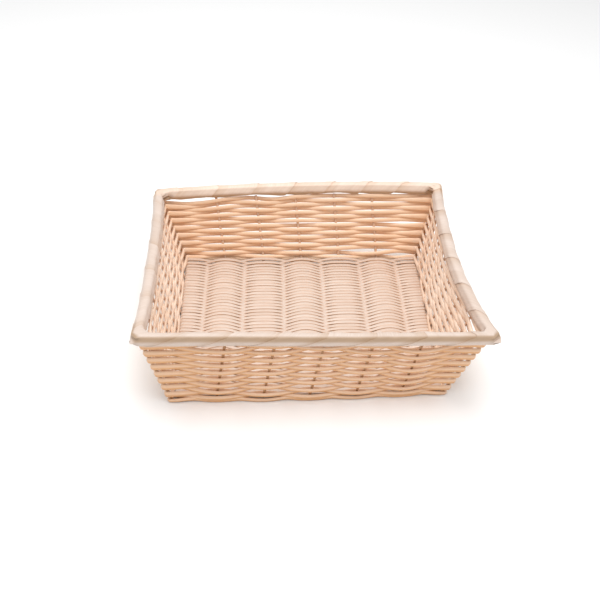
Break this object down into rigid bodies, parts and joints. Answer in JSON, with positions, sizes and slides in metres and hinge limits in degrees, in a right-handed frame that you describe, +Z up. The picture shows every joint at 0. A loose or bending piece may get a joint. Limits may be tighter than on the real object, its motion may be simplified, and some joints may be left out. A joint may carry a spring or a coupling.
{
  "type": "display basket",
  "caption": "Shallow rectangular display basket, woven from round cord on upright stakes, with flared walls, a close-woven base mat and a strap-bound rim.",
  "frame": {"origin": "middle of the flat underside of the base mat, at floor level", "axes": "+X to the right along the long side, +Y to the back, +Z up out of the open top"},
  "size_m": [0.3255, 0.265, 0.093],
  "materials": {
    "wall_cord": "semi-gloss natural straw-coloured plastic cord with streaks",
    "stake_rod": "satin tan plastic rod",
    "base_strand": "semi-gloss pale pinkish straw plastic strand, close woven",
    "rim_strap": "satin cream flat plastic strap with fine lengthwise streaks",
    "rim_core": "dull tan moulded hoop"
  },
  "bodies": {
    "root": {"base_mat": "base_strand", "left_edge_rod": "stake_rod", "right_edge_rod": "stake_rod", "rib_1": "stake_rod", "rib_2": "stake_rod", "rib_3": "stake_rod", "rib_4": "stake_rod", "rib_5": "stake_rod", "front_left_corner_post": "stake_rod", "front_right_corner_post": "stake_rod", "back_right_corner_post": "stake_rod", "back_left_corner_post": "stake_rod", "left_stake_1": "stake_rod", "left_stake_2": "stake_rod", "left_stake_3": "stake_rod", "left_stake_4": "stake_rod", "left_stake_5": "stake_rod", "left_stake_6": "stake_rod", "right_stake_1": "stake_rod", "right_stake_2": "stake_rod", "right_stake_3": "stake_rod", "right_stake_4": "stake_rod", "right_stake_5": "stake_rod", "right_stake_6": "stake_rod", "foot_row": "wall_cord", "woven_row_01": "wall_cord", "woven_row_02": "wall_cord", "woven_row_03": "wall_cord", "woven_row_04": "wall_cord", "woven_row_05": "wall_cord", "woven_row_06": "wall_cord", "woven_row_07": "wall_cord", "woven_row_08": "wall_cord", "woven_row_09": "wall_cord", "woven_row_10": "wall_cord", "woven_row_11": "wall_cord", "woven_row_12": "wall_cord", "woven_row_13": "wall_cord", "woven_row_14": "wall_cord", "woven_row_15": "wall_cord", "woven_row_16": "wall_cord", "rim_hoop": "rim_core", "rim_strap": "rim_strap"}
  },
  "joints": []
}
